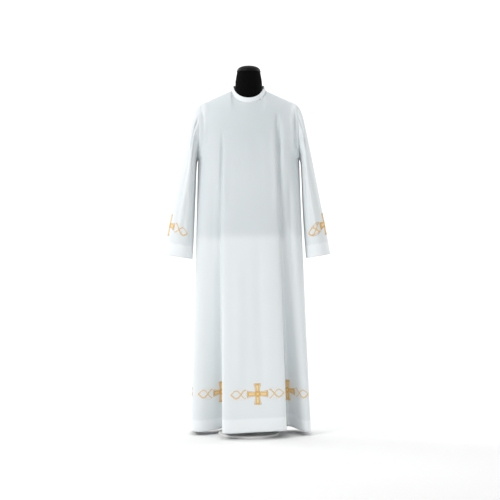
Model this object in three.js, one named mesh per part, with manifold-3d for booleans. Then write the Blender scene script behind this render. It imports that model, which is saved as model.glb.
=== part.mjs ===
// An alb robe on a limbless dress form with a flat round foot. Millimetres, +Z up, the front faces -Y.
// Each cut piece of the robe is a thin wall laid out on a grid that is worked out from short tables:
// one row for each line that runs down the cloth, and one row for each ring of a sleeve.
import * as THREE from "three";
import { mergeVertices } from "three/addons/utils/BufferGeometryUtils.js";
import Module from "manifold-3d";

// Cloth
const CLOTH_WALL = 1.2;
const DOUBLED_WALL = 2.4;
const HEM_DEPTH = 53;
const CUFF_DEPTH = 53;
const TURN = 1; // height over which the wall steps from single to doubled cloth
const SEAM_GAP = 0.3;

// Heights of the robe
const HEM_Z = 14;
const UNDERARM_Z = 1180;
const BUST_Z = 1298;
const SHOULDER_TIP_Z = 1416;
const NECK_SIDE_Z = 1475;

// Armhole: an upright oval that leans out towards its foot
const SEAM_Y = 5;
const ARMHOLE_X = 211;
const ARMHOLE_LEAN = 6;
const ARMHOLE_HALF_DEPTH = 80;
const ARMHOLE_HALF_HEIGHT = BUST_Z - UNDERARM_Z;
const ARMHOLE_EASE = 0.22; // share of the half width over which the armhole draws the panel

// Neckline
const NECK_SIDE_X = 74;
const NECK_AT = NECK_SIDE_X / (ARMHOLE_X - ARMHOLE_LEAN);

// Each half of the body: -1 is the front, +1 the back.
// bustEdge and bustMiddle are the panel's depth at the bust line, neckDepth and neckDrop the neckline.
const FRONT = { turn: -1, bustEdge: 75, bustMiddle: 122, neckDepth: 85, neckDrop: 61 };
const BACK = { turn: 1, bustEdge: 85, bustMiddle: 114, neckDepth: 56, neckDrop: -6 };

// Lines that run down the cloth, from the wearer's right side seam to the left one.
// at: share of the half width at the shoulders; underX, underY: place at the underarm level;
// hemX, hemY: place at the hem; lift: how far the hem rises there; late: above 1 where a fold opens
// late; steps: columns of cloth up to the next line.
const LINE_COLUMNS = ["at", "underX", "underY", "hemX", "hemY", "lift", "late", "steps"];
const FRONT_LINES = table(LINE_COLUMNS, [
  [-1.0, -217, 5, -243, 20, 4, 1.0, 1],
  [-0.95, -215, -28, -247, -14, 3, 1.0, 1],
  [-0.89, -206, -60, -234, -42, 2, 1.0, 1],
  [-0.81, -190, -83, -206, -48, 2, 1.1, 1],
  [-0.72, -166, -100, -172, -28, 2, 1.2, 1],
  [-0.64, -143, -108, -143, -8, 4, 1.3, 2],
  [-0.585, -127, -112, -118, 22, 8, 1.3, 1],
  [-0.56, -121, -112, -102, 24, 10, 1.3, 2],
  [-0.545, -118, -112, -103, -30, 12, 1.3, 2],
  [-0.53, -115, -113, -107, -92, 13, 1.2, 2],
  [-0.515, -112, -115, -114, -152, 12, 1.0, 1],
  [-0.47, -101, -118, -88, -160, 12, 1.0, 2],
  [-NECK_AT, -77, -123, -50, -153, 12, 1.0, 3],
  [-NECK_AT / 2, -39, -126, -8, -147, 14, 1.0, 3],
  [0.0, 0, -128, 36, -143, 16, 1.0, 3],
  [NECK_AT / 2, 39, -127, 78, -140, 17, 1.0, 3],
  [NECK_AT, 77, -124, 114, -137, 19, 1.0, 1],
  [0.48, 101, -119, 144, -132, 20, 1.0, 2],
  [0.555, 117, -114, 163, -124, 20, 1.0, 2],
  [0.575, 122, -111, 157, -72, 18, 1.2, 2],
  [0.6, 128, -108, 160, -20, 18, 1.3, 2],
  [0.625, 134, -106, 165, 28, 17, 1.3, 2],
  [0.665, 143, -105, 188, 20, 15, 1.3, 1],
  [0.74, 161, -101, 212, -20, 8, 1.2, 1],
  [0.83, 186, -86, 238, -54, 4, 1.1, 1],
  [0.91, 206, -58, 262, -60, 3, 1.0, 1],
  [0.965, 213, -26, 268, -22, 3, 1.0, 1],
  [1.0, 216, 5, 258, 20, 4, 1.0, 1],
]);
const BACK_LINES = table(LINE_COLUMNS, [
  [-1.0, -217, 5, -243, 20, 4, 1.0, 2],
  [-0.95, -215, 38, -255, 60, 3, 1.0, 2],
  [-0.87, -202, 66, -240, 94, 2, 1.0, 2],
  [-0.77, -176, 88, -205, 80, 3, 1.1, 1],
  [-0.67, -150, 98, -172, 56, 6, 1.3, 2],
  [-0.57, -126, 104, -146, 84, 6, 1.1, 2],
  [-0.48, -104, 108, -124, 132, 4, 1.0, 2],
  [-NECK_AT, -78, 110, -88, 136, 4, 1.0, 2],
  [(-2 * NECK_AT) / 3, -53, 111, -58, 98, 7, 1.2, 2],
  [-NECK_AT / 3, -27, 110, -32, 66, 9, 1.3, 2],
  [0, 0, 112, -6, 94, 8, 1.1, 2],
  [NECK_AT / 3, 26, 115, 20, 138, 6, 1.0, 2],
  [(2 * NECK_AT) / 3, 52, 115, 54, 144, 6, 1.0, 2],
  [NECK_AT, 78, 111, 84, 110, 7, 1.1, 2],
  [0.47, 102, 106, 112, 66, 9, 1.3, 1],
  [0.58, 127, 103, 140, 74, 8, 1.2, 2],
  [0.68, 150, 98, 168, 114, 5, 1.0, 2],
  [0.78, 176, 88, 206, 118, 4, 1.0, 2],
  [0.88, 202, 66, 242, 86, 3, 1.0, 2],
  [0.95, 213, 38, 264, 58, 3, 1.0, 2],
  [1.0, 216, 5, 258, 20, 4, 1.0, 1],
]);

// Rows of a panel: down the yoke to the bust line, down the armhole, then down the skirt
const YOKE_ROWS = 6;
const ARMHOLE_ROWS = 4;
const SKIRT_SHARES = [0.12, 0.28, 0.46, 0.65, 0.83];

// Rings of the sleeves, from the armhole to the cuff. outX, outZ: the fold line that hangs outside;
// inX, inZ: the underarm seam; midY: middle of the tube; depth: half its depth from front to back.
const RING_COLUMNS = ["outX", "outZ", "inX", "inZ", "midY", "depth"];
const RIGHT_SLEEVE_RINGS = table(RING_COLUMNS, [
  [-205, SHOULDER_TIP_Z, -217, UNDERARM_Z, SEAM_Y, ARMHOLE_HALF_DEPTH],
  [-229, 1391, -222, 1173, 4, 90],
  [-244, 1334, -225, 1150, 2, 102],
  [-260, 1255, -227, 1105, 0, 106],
  [-287, 1142, -229, 1035, -2, 98],
  [-315, 1015, -233, 935, -4, 85],
  [-340, 900, -236, 848, -6, 73],
  [-364, 772, -241, 752, -8, 62],
]);
const LEFT_SLEEVE_RINGS = table(RING_COLUMNS, [
  [205, SHOULDER_TIP_Z, 217, UNDERARM_Z, SEAM_Y, ARMHOLE_HALF_DEPTH],
  [227, 1391, 222, 1173, 4, 90],
  [239, 1334, 225, 1150, 2, 102],
  [256, 1262, 227, 1105, 0, 106],
  [278, 1150, 229, 1035, -1, 98],
  [303, 1020, 233, 935, -2, 85],
  [326, 905, 239, 848, -3, 73],
  [351, 774, 246, 756, -4, 62],
]);
const RING_STEPS = 12; // rings down a sleeve
const RING_SIDES = 22;

// Collar: a low stand of doubled cloth whose ends lap on the wearer's left shoulder
const COLLAR_HEIGHT = 22;
const COLLAR_WALL = 1.8;
const COLLAR_LEAN_X = 8;
const COLLAR_LEAN_Y = 4;
const COLLAR_START = 15; // degrees from the left side of the neck towards the front
const COLLAR_LAP = 30; // degrees that one end lies over the other
const COLLAR_RAMP = 15; // degrees over which the inner end draws in under the outer one
const COLLAR_LAP_GAP = 0.5;
const COLLAR_COLUMN = 15; // degrees of a column, the same as the columns at the neckline
const COLLAR_RISE = 0.7; // clear of the neckline's rim

// Dress form. z: height; halfWidth; front, back: depths from midY
const FORM_COLUMNS = ["z", "halfWidth", "front", "back", "midY"];
const FORM_RINGS = table(FORM_COLUMNS, [
  [847, 156, 96, 88, 0],
  [856, 162, 102, 94, 0],
  [900, 164, 104, 96, 0],
  [970, 159, 99, 95, 0],
  [1060, 140, 86, 84, 0],
  [1150, 148, 93, 88, 0],
  [1240, 161, 106, 96, 0],
  [1298, 167, 109, 98, 0],
  [1345, 173, 100, 96, 0],
  [1380, 180, 84, 88, 0],
  [1398, 180, 68, 76, 0],
  [1412, 168, 52, 62, 0],
  [1426, 142, 40, 50, 0],
  [1440, 110, 33, 42, 0],
  [1452, 84, 30, 38, 0],
  [1462, 64, 28, 36, 0],
]);
const FORM_SIDES = 32;
const FORM_SQUARENESS = 2.2;
const NECK_Y = -9;
const NECK_TOP_Z = 1553;
const NECK_PROFILE = [
  [56, 1375],
  [57, 1440],
  [58, 1490],
  [57, 1512],
  [53.5, 1534],
  [50.5, NECK_TOP_Z],
];
const CAP_RIM_RADIUS = 51;
const CAP_RIM = 4;
const CAP_HEIGHT = 28;
const CAP_ARC_STEPS = 6;
const ROUND_SIDES = 32;

// Stand
const BASE_RADIUS = 130;
const BASE_THICKNESS = 10;
const BASE_EDGE = 2;
const HUB_RADIUS = 30;
const HUB_HEIGHT = 26;
const POLE_RADIUS = 14;

const wasm = await Module();
wasm.setup();
const alb = new THREE.Group();

function table(columns, rows) {
  return rows.map((row) => Object.fromEntries(columns.map((name, i) => [name, row[i]])));
}

function mix(a, b, share) {
  return a + (b - a) * share;
}

function easeIn(share) {
  const s = Math.min(1, Math.max(0, share));
  return s * s * (3 - 2 * s);
}

// A cubic B-spline through a table's column that starts and ends on its first and last rows
function smooth(rows, column, place) {
  const i = Math.min(Math.floor(place), rows.length - 2);
  const t = place - i;
  const value = (k) => {
    if (k < 0) return 2 * rows[0][column] - rows[1][column];
    if (k >= rows.length) return 2 * rows[rows.length - 1][column] - rows[rows.length - 2][column];
    return rows[k][column];
  };
  const weights = [(1 - t) ** 3, 3 * t ** 3 - 6 * t ** 2 + 4, -3 * t ** 3 + 3 * t ** 2 + 3 * t + 1, t ** 3];
  return weights.reduce((sum, weight, k) => sum + (weight / 6) * value(i - 1 + k), 0);
}

// Straight from row to row
function direct(rows, column, place) {
  const i = Math.min(Math.floor(place), rows.length - 2);
  return mix(rows[i][column], rows[i + 1][column], place - i);
}

function hermite(from, leaving, to, arriving, t) {
  return new THREE.Vector3()
    .addScaledVector(from, 2 * t ** 3 - 3 * t ** 2 + 1)
    .addScaledVector(leaving, t ** 3 - 2 * t ** 2 + t)
    .addScaledVector(to, 3 * t ** 2 - 2 * t ** 3)
    .addScaledVector(arriving, t ** 3 - t ** 2);
}

// The neckline, from -1 at the wearer's right side of the neck to 1 at the left
function neckline(half, share) {
  const angle = (share * Math.PI) / 2;
  const reach = Math.cos(angle);
  return new THREE.Vector3(
    NECK_SIDE_X * Math.sin(angle),
    SEAM_Y + half.turn * half.neckDepth * reach,
    NECK_SIDE_Z - half.neckDrop * reach,
  );
}

// The top edge of a panel: a shoulder seam, the neckline and the other shoulder seam
function topEdge(half, at) {
  const reach = Math.abs(at);
  if (reach < NECK_AT) return neckline(half, at / NECK_AT);
  const share = (reach - NECK_AT) / (1 - NECK_AT);
  return new THREE.Vector3(
    Math.sign(at) * mix(NECK_SIDE_X, ARMHOLE_X - ARMHOLE_LEAN, share),
    SEAM_Y + (half.turn * SEAM_GAP) / 2,
    mix(NECK_SIDE_Z, SHOULDER_TIP_Z, share),
  );
}

function bustLine(half, at) {
  const rounding = Math.max(0, 1 - at * at) ** 0.8;
  return new THREE.Vector3(
    ARMHOLE_X * at,
    half.turn * mix(half.bustEdge, half.bustMiddle, rounding),
    BUST_Z,
  );
}

// A point of the armhole, by its angle from the shoulder tip
function armhole(half, side, angle) {
  return new THREE.Vector3(
    side * (ARMHOLE_X - ARMHOLE_LEAN * Math.cos(angle)),
    SEAM_Y + half.turn * (ARMHOLE_HALF_DEPTH * Math.sin(angle) + SEAM_GAP / 2),
    BUST_Z + ARMHOLE_HALF_HEIGHT * Math.cos(angle),
  );
}

// From the top edge over the shoulder and the chest to the bust line
function yoke(half, at, share) {
  const top = topEdge(half, at);
  const bust = bustLine(half, at);
  const forward = Math.abs(bust.y - top.y);
  const drop = top.z - bust.z;
  const onNeck = Math.abs(top.y - SEAM_Y) / half.neckDepth;
  const leaving = new THREE.Vector3(0, half.turn * 1.35 * forward, -mix(0.25, 0.9, onNeck) * drop);
  const arriving = new THREE.Vector3(0, half.turn * 0.12 * forward, -1.35 * drop);
  return hermite(top, leaving, bust, arriving, share);
}

function underLine(lines, half, place) {
  const edge = place === 0 || place === lines.length - 1;
  return new THREE.Vector3(
    smooth(lines, "underX", place),
    smooth(lines, "underY", place) + (edge ? (half.turn * SEAM_GAP) / 2 : 0),
    UNDERARM_Z,
  );
}

// From the bust line to the level of the underarm
function chest(lines, half, place, share) {
  const bust = bustLine(half, direct(lines, "at", place));
  const under = underLine(lines, half, place);
  const fall = new THREE.Vector3(0, 0, UNDERARM_Z - BUST_Z);
  return hermite(bust, fall, under, fall, share);
}

// Above the underarm the panel ends at the armhole, which draws the cloth beside it
function drawnToArmhole(point, plainEdge, edge, at) {
  const pull = easeIn(1 - (1 - Math.abs(at)) / ARMHOLE_EASE);
  return point.addScaledVector(edge.sub(plainEdge), pull);
}

function yokeRow(lines, half, place, share) {
  const at = direct(lines, "at", place);
  const side = Math.sign(at) || 1;
  const edge = armhole(half, side, (share * Math.PI) / 2);
  return drawnToArmhole(yoke(half, at, share), yoke(half, side, share), edge, at);
}

function armholeRow(lines, half, place, share) {
  const at = direct(lines, "at", place);
  const side = Math.sign(at) || 1;
  const edge = armhole(half, side, ((1 + share) * Math.PI) / 2);
  const plainEdge = chest(lines, half, side < 0 ? 0 : lines.length - 1, share);
  return drawnToArmhole(chest(lines, half, place, share), plainEdge, edge, at);
}

function skirtRow(lines, half, place, share) {
  const under = underLine(lines, half, place);
  const seam = place === 0 || place === lines.length - 1 ? (half.turn * SEAM_GAP) / 2 : 0;
  const opened = share ** direct(lines, "late", place);
  return new THREE.Vector3(
    mix(under.x, smooth(lines, "hemX", place), opened),
    mix(under.y, smooth(lines, "hemY", place) + seam, opened),
    mix(under.z, HEM_Z + smooth(lines, "lift", place), share),
  );
}

// Where the columns of a panel lie between its lines
function columnPlaces(lines) {
  const places = lines.slice(0, -1).flatMap((line, i) =>
    Array.from({ length: line.steps }, (_, k) => i + k / line.steps),
  );
  return [...places, lines.length - 1];
}

// A panel's rows of points with the thickness of the cloth at each row
function panelGrid(lines, half) {
  const places = columnPlaces(lines);
  const skirtLength = UNDERARM_Z - HEM_Z;
  const foldTop = 1 - HEM_DEPTH / skirtLength;
  const foldTurn = foldTop + TURN / skirtLength;
  const row = (make, share, wall) => ({
    wall,
    points: places.map((place) => make(lines, half, place, share)),
  });
  const top = row(yokeRow, 0, CLOTH_WALL);
  top.points.filter(({ x }) => Math.abs(x) > NECK_SIDE_X - TURN).forEach((point) => (point.butt = "y"));
  const seamed = (made) => {
    made.points[0].butt = "y";
    made.points[places.length - 1].butt = "y";
    return made;
  };
  return [
    top,
    ...steps(YOKE_ROWS).slice(1).map((share) => row(yokeRow, share, CLOTH_WALL)),
    ...steps(ARMHOLE_ROWS).map((share) => row(armholeRow, share, CLOTH_WALL)),
    ...[0, ...SKIRT_SHARES, foldTop].map((share) => seamed(row(skirtRow, share, CLOTH_WALL))),
    ...[foldTurn, 1].map((share) => seamed(row(skirtRow, share, DOUBLED_WALL))),
  ];
}

// Shares from 0 up to, but without, 1
function steps(count) {
  return Array.from({ length: count }, (_, i) => i / count);
}

// Rings of a sleeve: ovals that turn from the upright armhole to the level cuff
function sleeveGrid(rings) {
  const last = rings.length - 1;
  const outward = Math.sign(rings[0].outX);
  const cuffRing = { outX: 0, outZ: CUFF_DEPTH, inX: 0, inZ: CUFF_DEPTH };
  const ring = (place, wall, raised = 0) => {
    const value = (column) => smooth(rings, column, place) + raised * (cuffRing[column] ?? 0);
    const outer = new THREE.Vector3(value("outX"), value("midY"), value("outZ"));
    const inner = new THREE.Vector3(value("inX"), value("midY"), value("inZ"));
    const middle = outer.clone().add(inner).multiplyScalar(0.5);
    middle.x += outward * SEAM_GAP;
    const reach = outer.clone().sub(inner).multiplyScalar(0.5);
    const points = steps(RING_SIDES).map((share) => {
      const angle = share * 2 * Math.PI;
      const point = middle.clone().addScaledVector(reach, Math.cos(angle));
      point.y -= value("depth") * Math.sin(angle);
      return point;
    });
    return { wall, points };
  };
  const foldTop = last - CUFF_DEPTH / (rings[last - 1].outZ - rings[last].outZ);
  const foldTurn = foldTop + TURN / (rings[last - 1].outZ - rings[last].outZ);
  const head = ring(0, CLOTH_WALL);
  head.points.forEach((point) => (point.butt = "x"));
  return [
    head,
    ...steps(RING_STEPS).slice(1).map((share) => ring(share * foldTop, CLOTH_WALL)),
    ring(foldTop, CLOTH_WALL),
    ring(foldTurn, DOUBLED_WALL),
    ring(last, DOUBLED_WALL),
  ];
}

// A point of the whole neckline by its angle from the left side of the neck towards the front
function neckPoint(angle) {
  const turn = ((angle % 360) + 360) % 360;
  const half = turn <= 180 ? FRONT : BACK;
  const share = half === FRONT ? 1 - turn / 90 : (turn - 270) / 90;
  return neckline(half, share);
}

function collarGrid() {
  const columnCount = (360 + COLLAR_LAP) / COLLAR_COLUMN + 1;
  const angles = Array.from({ length: columnCount }, (_, i) => COLLAR_START + i * COLLAR_COLUMN);
  const column = (angle) => {
    const foot = neckPoint(angle);
    const outside = new THREE.Vector3(foot.x, foot.y - NECK_Y, 0).normalize();
    const lapped = easeIn((COLLAR_START + COLLAR_LAP + COLLAR_RAMP - angle) / COLLAR_RAMP);
    foot.addScaledVector(outside, -lapped * (COLLAR_WALL + COLLAR_LAP_GAP));
    foot.z += COLLAR_RISE;
    const top = foot.clone();
    top.x -= COLLAR_LEAN_X * outside.x;
    top.y -= COLLAR_LEAN_Y * outside.y;
    top.z += COLLAR_HEIGHT;
    return { foot, top };
  };
  const columns = angles.map(column);
  return [1, 0.5, 0].map((share) => ({
    wall: COLLAR_WALL,
    points: columns.map(({ foot, top }) => foot.clone().lerp(top, share)),
  }));
}

// Normals that point out of the cloth, by the cross of its column and row directions. A point that
// butts on the next piece keeps its rim square to that seam: its normal has nothing along the axis.
function gridNormals(grid, closed, outward) {
  const rows = grid.length;
  const columns = grid[0].points.length;
  const at = (i, j) => grid[i].points[(j + columns) % columns];
  const clampRow = (i) => Math.min(rows - 1, Math.max(0, i));
  const clampColumn = (j) => (closed ? j : Math.min(columns - 1, Math.max(0, j)));
  return grid.map(({ points }, i) =>
    points.map(({ butt }, j) => {
      const across = at(i, clampColumn(j + 1)).clone().sub(at(i, clampColumn(j - 1)));
      const down = at(clampRow(i + 1), j).clone().sub(at(clampRow(i - 1), j));
      const normal = across.cross(down);
      if (butt) normal[butt] = 0;
      return normal.setLength(outward);
    }),
  );
}

// A closed wall: the grid is its outer face, and the inner face lies one wall further in
function wall(grid, { closed, outward }) {
  const rows = grid.length;
  const columns = grid[0].points.length;
  const normals = gridNormals(grid, closed, outward);
  const outer = grid.flatMap(({ points }) => points);
  const inner = grid.flatMap(({ points, wall: thickness }, i) =>
    points.map((point, j) => point.clone().addScaledVector(normals[i][j], -thickness)),
  );
  const index = [];
  const quad = (a, b, c, d) => index.push(a, b, c, a, c, d);
  const spans = closed ? columns : columns - 1;
  const far = rows * columns;
  const id = (i, j) => i * columns + (j % columns);
  for (let i = 0; i < rows - 1; i++) {
    for (let j = 0; j < spans; j++) {
      quad(id(i, j), id(i, j + 1), id(i + 1, j + 1), id(i + 1, j));
      quad(far + id(i, j), far + id(i + 1, j), far + id(i + 1, j + 1), far + id(i, j + 1));
    }
  }
  for (let j = 0; j < spans; j++) {
    quad(id(0, j + 1), id(0, j), far + id(0, j), far + id(0, j + 1));
    quad(id(rows - 1, j), id(rows - 1, j + 1), far + id(rows - 1, j + 1), far + id(rows - 1, j));
  }
  for (let i = 0; i < rows - 1 && !closed; i++) {
    quad(id(i, 0), id(i + 1, 0), far + id(i + 1, 0), far + id(i, 0));
    quad(id(i + 1, columns - 1), id(i, columns - 1), far + id(i, columns - 1), far + id(i + 1, columns - 1));
  }
  if (outward < 0) index.reverse();
  return closedGeometry([...outer, ...inner], index);
}

function closedGeometry(points, index) {
  const geometry = new THREE.BufferGeometry().setFromPoints(points);
  geometry.setIndex(index);
  geometry.computeVertexNormals();
  return geometry;
}

// The form's torso: rounded rings, closed by a flat face below and above
function torso() {
  const ring = ({ z, halfWidth, front, back, midY }) =>
    steps(FORM_SIDES).map((share) => {
      const angle = share * 2 * Math.PI;
      const rounded = (value) => Math.sign(value) * Math.abs(value) ** (2 / FORM_SQUARENESS);
      const depth = Math.sin(angle) > 0 ? back : front;
      return new THREE.Vector3(
        halfWidth * rounded(Math.cos(angle)),
        midY + depth * rounded(Math.sin(angle)),
        z,
      );
    });
  const points = FORM_RINGS.flatMap(ring);
  const index = [];
  const rings = FORM_RINGS.length;
  const id = (i, j) => i * FORM_SIDES + (j % FORM_SIDES);
  for (let i = 0; i < rings - 1; i++) {
    for (let j = 0; j < FORM_SIDES; j++) {
      index.push(id(i, j), id(i, j + 1), id(i + 1, j + 1));
      index.push(id(i, j), id(i + 1, j + 1), id(i + 1, j));
    }
  }
  const [lowest, highest] = [FORM_RINGS[0], FORM_RINGS[rings - 1]];
  const foot = points.push(new THREE.Vector3(0, lowest.midY, lowest.z)) - 1;
  const head = points.push(new THREE.Vector3(0, highest.midY, highest.z)) - 1;
  for (let j = 0; j < FORM_SIDES; j++) {
    index.push(foot, id(0, j + 1), id(0, j));
    index.push(head, id(rings - 1, j), id(rings - 1, j + 1));
  }
  return closedGeometry(points, index);
}

// A turned piece whose profile, in radius and height, starts and ends on the axis
function turned(profile, y = 0) {
  const points = profile.map(([radius, z]) => new THREE.Vector2(radius, z));
  const geometry = new THREE.LatheGeometry(points, ROUND_SIDES);
  geometry.rotateX(Math.PI / 2);
  geometry.translate(0, y, 0);
  return geometry;
}

function neck() {
  const [foot] = NECK_PROFILE;
  return turned([[0, foot[1]], ...NECK_PROFILE, [0, NECK_TOP_Z]], NECK_Y);
}

// The torso and its neck, joined as one body
function bust() {
  return geometryOf(solidOf(torso()).add(solidOf(neck())));
}

function solidOf(geometry) {
  const bare = new THREE.BufferGeometry();
  bare.setAttribute("position", geometry.toNonIndexed().getAttribute("position"));
  const merged = mergeVertices(bare, 1e-3);
  const vertProperties = merged.attributes.position.array;
  const triVerts = new Uint32Array(merged.index.array);
  return new wasm.Manifold(new wasm.Mesh({ numProp: 3, vertProperties, triVerts }));
}

function geometryOf(solid) {
  const { vertProperties, triVerts } = solid.getMesh();
  const geometry = new THREE.BufferGeometry();
  geometry.setAttribute("position", new THREE.BufferAttribute(vertProperties, 3));
  geometry.setIndex(new THREE.BufferAttribute(triVerts, 1));
  geometry.computeVertexNormals();
  return geometry;
}

function domedCap() {
  const foot = NECK_TOP_Z + SEAM_GAP;
  const dome = steps(CAP_ARC_STEPS).map((share) => {
    const angle = (share * Math.PI) / 2;
    const rise = (CAP_HEIGHT - CAP_RIM) * Math.sin(angle);
    return [CAP_RIM_RADIUS * Math.cos(angle), foot + CAP_RIM + rise];
  });
  return turned([[0, foot], [CAP_RIM_RADIUS, foot], ...dome, [0, foot + CAP_HEIGHT]], NECK_Y);
}

function footPlate() {
  return turned([
    [0, 0],
    [BASE_RADIUS - BASE_EDGE, 0],
    [BASE_RADIUS, BASE_EDGE],
    [BASE_RADIUS, BASE_THICKNESS - BASE_EDGE],
    [BASE_RADIUS - BASE_EDGE, BASE_THICKNESS],
    [HUB_RADIUS, BASE_THICKNESS],
    [HUB_RADIUS - BASE_EDGE, HUB_HEIGHT],
    [0, HUB_HEIGHT],
  ]);
}

function pole() {
  const foot = HUB_HEIGHT + SEAM_GAP;
  const head = FORM_RINGS[0].z - SEAM_GAP;
  return turned([[0, foot], [POLE_RADIUS, foot], [POLE_RADIUS, head], [0, head]]);
}

function add(name, geometry, look) {
  const mesh = new THREE.Mesh(geometry, new THREE.MeshStandardMaterial(look));
  mesh.name = name;
  alb.add(mesh);
}

const CLOTH = { color: 0xe4e9ea, roughness: 0.85, metalness: 0 };
const COLLAR_CLOTH = { color: 0xeef3f4, roughness: 0.8, metalness: 0 };
const BLACK_COVER = { color: 0x060608, roughness: 0.6, metalness: 0 };
const BLACK_CAP = { color: 0x050506, roughness: 0.45, metalness: 0 };
const STEEL = { color: 0xc8cacc, roughness: 0.35, metalness: 0.9 };
const PALE_PAINT = { color: 0xe6e6e4, roughness: 0.4, metalness: 0.2 };

add("front", wall(panelGrid(FRONT_LINES, FRONT), { closed: false, outward: -1 }), CLOTH);
add("back", wall(panelGrid(BACK_LINES, BACK), { closed: false, outward: 1 }), CLOTH);
add("sleeve_right", wall(sleeveGrid(RIGHT_SLEEVE_RINGS), { closed: true, outward: -1 }), CLOTH);
add("sleeve_left", wall(sleeveGrid(LEFT_SLEEVE_RINGS), { closed: true, outward: 1 }), CLOTH);
add("collar", wall(collarGrid(), { closed: false, outward: 1 }), COLLAR_CLOTH);
add("form_bust", bust(), BLACK_COVER);
add("form_cap", domedCap(), BLACK_CAP);
add("form_pole", pole(), STEEL);
add("form_base", footPlate(), PALE_PAINT);

export default alb;
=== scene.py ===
"""An alb on a black dress form: thin draped cloth with a stand collar, turned-up hem and cuffs, and gold
embroidery stitched on as raised threads. Metres, +Z up, the front faces -Y."""
import math

import bpy
import numpy as np
from bpy.props import FloatProperty, FloatVectorProperty, PointerProperty
from mathutils.bvhtree import BVHTree
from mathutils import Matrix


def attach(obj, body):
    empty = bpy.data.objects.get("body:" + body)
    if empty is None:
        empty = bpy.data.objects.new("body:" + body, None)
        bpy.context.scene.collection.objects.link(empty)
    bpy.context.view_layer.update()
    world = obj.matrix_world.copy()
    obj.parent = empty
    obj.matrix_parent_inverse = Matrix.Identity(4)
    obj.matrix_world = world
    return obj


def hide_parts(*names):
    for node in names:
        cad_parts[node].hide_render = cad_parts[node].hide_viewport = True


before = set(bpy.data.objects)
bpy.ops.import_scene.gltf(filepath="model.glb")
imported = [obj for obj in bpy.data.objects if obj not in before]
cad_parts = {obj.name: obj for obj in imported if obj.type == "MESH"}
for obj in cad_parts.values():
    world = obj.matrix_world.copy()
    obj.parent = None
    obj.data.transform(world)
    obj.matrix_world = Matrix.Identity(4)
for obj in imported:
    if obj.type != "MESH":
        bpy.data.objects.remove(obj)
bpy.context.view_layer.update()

bl_info = {
    "name": "Alb on a dress form",
    "version": (1, 0, 0),
    "blender": (4, 5, 0),
    "location": "View3D > Sidebar > Alb",
    "description": "Builds a draped alb with embroidered hem and cuffs on its dress form",
    "category": "Object",
}

MM = 0.001
BODY = "root"

# ---- the cut of the robe, in millimetres ----
HEM_Z = 14.0
UNDERARM_Z = 1180.0
BUST_Z = 1298.0
SHOULDER_TIP_Z = 1416.0
NECK_SIDE_Z = 1475.0
SEAM_Y = 5.0
SEAM_GAP = 0.3
ARMHOLE_X = 211.0
ARMHOLE_LEAN = 6.0
ARMHOLE_HALF_DEPTH = 80.0
ARMHOLE_EASE = 0.22
NECK_SIDE_X = 74.0
NECK_AT = NECK_SIDE_X / (ARMHOLE_X - ARMHOLE_LEAN)
NECK_Y = -9.0
FRONT = dict(turn=-1, edge=75, middle=122, neck_depth=85, neck_drop=61)
BACK = dict(turn=1, edge=85, middle=114, neck_depth=56, neck_drop=-6)

LINE_COLUMNS = ("at", "under_x", "under_y", "hem_x", "hem_y", "lift", "late")
FRONT_LINES = [
    (-1.0, -217, 5, -243, 20, 4, 1.0),
    (-0.95, -215, -28, -247, -14, 3, 1.0),
    (-0.89, -206, -60, -234, -42, 2, 1.0),
    (-0.81, -190, -83, -206, -48, 2, 1.1),
    (-0.72, -166, -100, -172, -28, 2, 1.2),
    (-0.64, -143, -108, -143, -8, 4, 1.3),
    (-0.585, -127, -112, -118, 22, 8, 1.3),
    (-0.56, -121, -112, -102, 24, 10, 1.3),
    (-0.545, -118, -112, -103, -30, 12, 1.3),
    (-0.53, -115, -113, -107, -92, 13, 1.2),
    (-0.515, -112, -115, -114, -152, 12, 1.0),
    (-0.47, -101, -118, -88, -160, 12, 1.0),
    (-NECK_AT, -77, -123, -50, -153, 12, 1.0),
    (-NECK_AT / 2, -39, -126, -8, -147, 14, 1.0),
    (0.0, 0, -128, 36, -143, 16, 1.0),
    (NECK_AT / 2, 39, -127, 78, -140, 17, 1.0),
    (NECK_AT, 77, -124, 114, -137, 19, 1.0),
    (0.48, 101, -119, 144, -132, 20, 1.0),
    (0.555, 117, -114, 163, -124, 20, 1.0),
    (0.575, 122, -111, 157, -72, 18, 1.2),
    (0.6, 128, -108, 160, -20, 18, 1.3),
    (0.625, 134, -106, 165, 28, 17, 1.3),
    (0.665, 143, -105, 188, 20, 15, 1.3),
    (0.74, 161, -101, 212, -20, 8, 1.2),
    (0.83, 186, -86, 238, -54, 4, 1.1),
    (0.91, 206, -58, 262, -60, 3, 1.0),
    (0.965, 213, -26, 268, -22, 3, 1.0),
    (1.0, 216, 5, 258, 20, 4, 1.0),
]
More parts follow.
